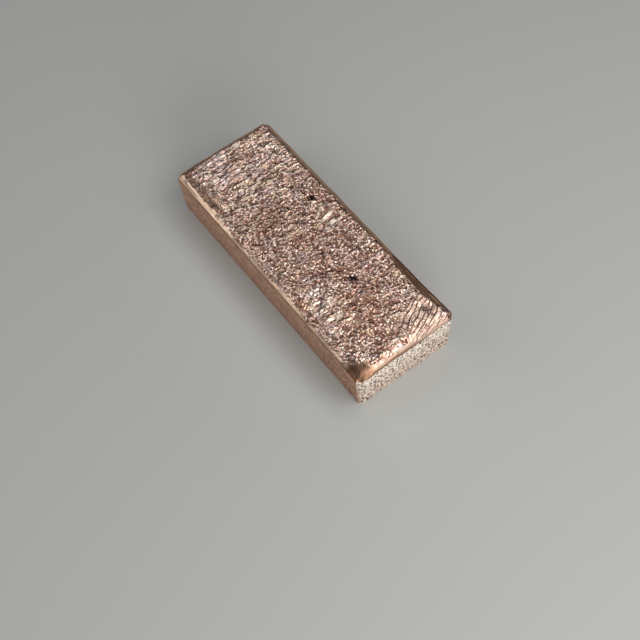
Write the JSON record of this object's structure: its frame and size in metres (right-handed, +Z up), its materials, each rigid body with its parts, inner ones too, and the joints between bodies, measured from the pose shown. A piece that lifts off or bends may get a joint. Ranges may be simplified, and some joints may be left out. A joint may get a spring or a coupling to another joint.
{
  "type": "copper ingot",
  "caption": "Small cast copper bar with drafted sides, a rolled rim and a crinkled, freely frozen top, kept as raw stock for melting or working.",
  "frame": {"origin": "middle of the flat base, straight below the middle of the bar's box", "axes": "+X along the bar, +Y across it, +Z up from the base to the crinkled top"},
  "size_m": [0.118, 0.0444, 0.0222],
  "materials": {
    "cast_copper": "as-cast bare copper: crinkled satin top skin with brown and violet tarnish, duller mould faces with fine pinholes"
  },
  "bodies": {
    "root": {"ingot": "cast_copper"}
  },
  "joints": []
}
